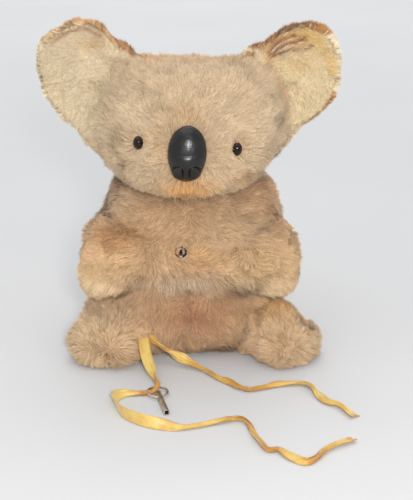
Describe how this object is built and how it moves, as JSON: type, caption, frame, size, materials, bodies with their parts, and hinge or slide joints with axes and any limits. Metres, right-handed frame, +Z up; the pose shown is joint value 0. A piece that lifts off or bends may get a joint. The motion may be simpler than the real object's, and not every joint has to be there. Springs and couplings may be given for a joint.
{
  "type": "clockwork koala toy",
  "caption": "Stuffed plush koala with a wound movement in its belly that turns the head from side to side, and a tube key on a long ribbon.",
  "frame": {"origin": "middle of the flat seat the toy sits on", "axes": "+Z up, the toy faces -Y, +X towards its left side, which is on the right seen from the front"},
  "size_m": [0.2532, 0.2889, 0.272],
  "materials": {
    "fur_tan": "matted pile",
    "fur_ochre": "matted pile",
    "ear_plush": "short pile",
    "black_plastic": "semi-gloss, worn",
    "eye_glass": "polished",
    "satin_ribbon": "satin weave",
    "nickel": "worn nickel plate",
    "steel": "turned",
    "spring_steel": "blued",
    "brass": "rolled sheet",
    "tinplate": "tinned sheet",
    "fibreboard": "pressed board"
  },
  "bodies": {
    "body": {"torso": "fur_tan", "arm_left": "fur_ochre", "arm_right": "fur_ochre", "leg_left": "fur_tan", "leg_right": "fur_tan", "neck_board": "fibreboard", "neck_bush": "brass", "shaft_guide": "brass", "movement_case": "tinplate", "case_cover": "tinplate", "front_plate": "brass", "back_plate": "brass", "pillar_1": "steel", "pillar_2": "steel", "pillar_3": "steel", "pillar_4": "steel", "pillar_nut_1": "steel", "pillar_nut_2": "steel", "pillar_nut_3": "steel", "pillar_nut_4": "steel", "mainspring": "spring_steel", "belly_ferrule": "nickel", "ribbon_tack": "satin_ribbon", "ribbon_key_strand": "satin_ribbon", "ribbon_plain_strand": "satin_ribbon", "key_ring": "nickel", "key_shank": "nickel"},
    "turning_head": {"head": "fur_tan", "ear_shell_left": "fur_ochre", "ear_shell_right": "fur_ochre", "ear_lining_left": "ear_plush", "ear_lining_right": "ear_plush", "eye_left": "eye_glass", "eye_right": "eye_glass", "nose": "black_plastic", "head_disc": "fibreboard", "head_nut": "steel", "neck_shaft": "steel", "shaft_collar": "brass", "fork_lever": "steel"},
    "winder": {"winding_arbor": "steel", "ratchet_wheel": "steel"},
    "great_gear": {"great_wheel": "brass", "click_rivet": "steel"},
    "click_pawl": {"click": "spring_steel"},
    "second_gear": {"second_arbor": "steel", "second_wheel": "brass", "crank_disc": "brass", "crank_pin": "steel"},
    "third_gear": {"third_arbor": "steel", "third_wheel": "brass"},
    "air_brake": {"fly_arbor": "steel", "fly": "tinplate"}
  },
  "joints": [
    {"name": "head_turn", "type": "hinge", "parent": "body", "child": "turning_head", "pos_m": [0.002, 0.004, 0.143], "axis": [0, 0, 1], "range_deg": [-16, 16]},
    {"name": "winding", "type": "hinge", "parent": "body", "child": "winder", "pos_m": [-0.0046, -0.031, 0.0986], "axis": [0, 1, 0], "continuous": true},
    {"name": "great_wheel_turn", "type": "hinge", "parent": "body", "child": "great_gear", "pos_m": [-0.0046, -0.0295, 0.0986], "axis": [0, 1, 0], "continuous": true},
    {"name": "click_flex", "type": "hinge", "parent": "great_gear", "child": "click_pawl", "pos_m": [-0.00916, -0.0309, 0.10839], "axis": [0, -1, 0], "range_deg": [0, 8], "stiffness_Nm_per_rad": 0.002, "springref_deg": -5.73},
    {"name": "second_wheel_turn", "type": "hinge", "parent": "body", "child": "second_gear", "pos_m": [0.002, -0.028, 0.07866], "axis": [0, 1, 0], "continuous": true},
    {"name": "third_wheel_turn", "type": "hinge", "parent": "body", "child": "third_gear", "pos_m": [0.01423, -0.026, 0.08437], "axis": [0, 1, 0], "continuous": true},
    {"name": "fly_turn", "type": "hinge", "parent": "body", "child": "air_brake", "pos_m": [0.01923, -0.025, 0.09303], "axis": [0, 1, 0], "continuous": true}
  ],
  "couplings": [
    {"joint": "second_wheel_turn", "follows": "great_wheel_turn", "ratio": -4},
    {"joint": "third_wheel_turn", "follows": "great_wheel_turn", "ratio": 16},
    {"joint": "fly_turn", "follows": "great_wheel_turn", "ratio": -48}
  ]
}
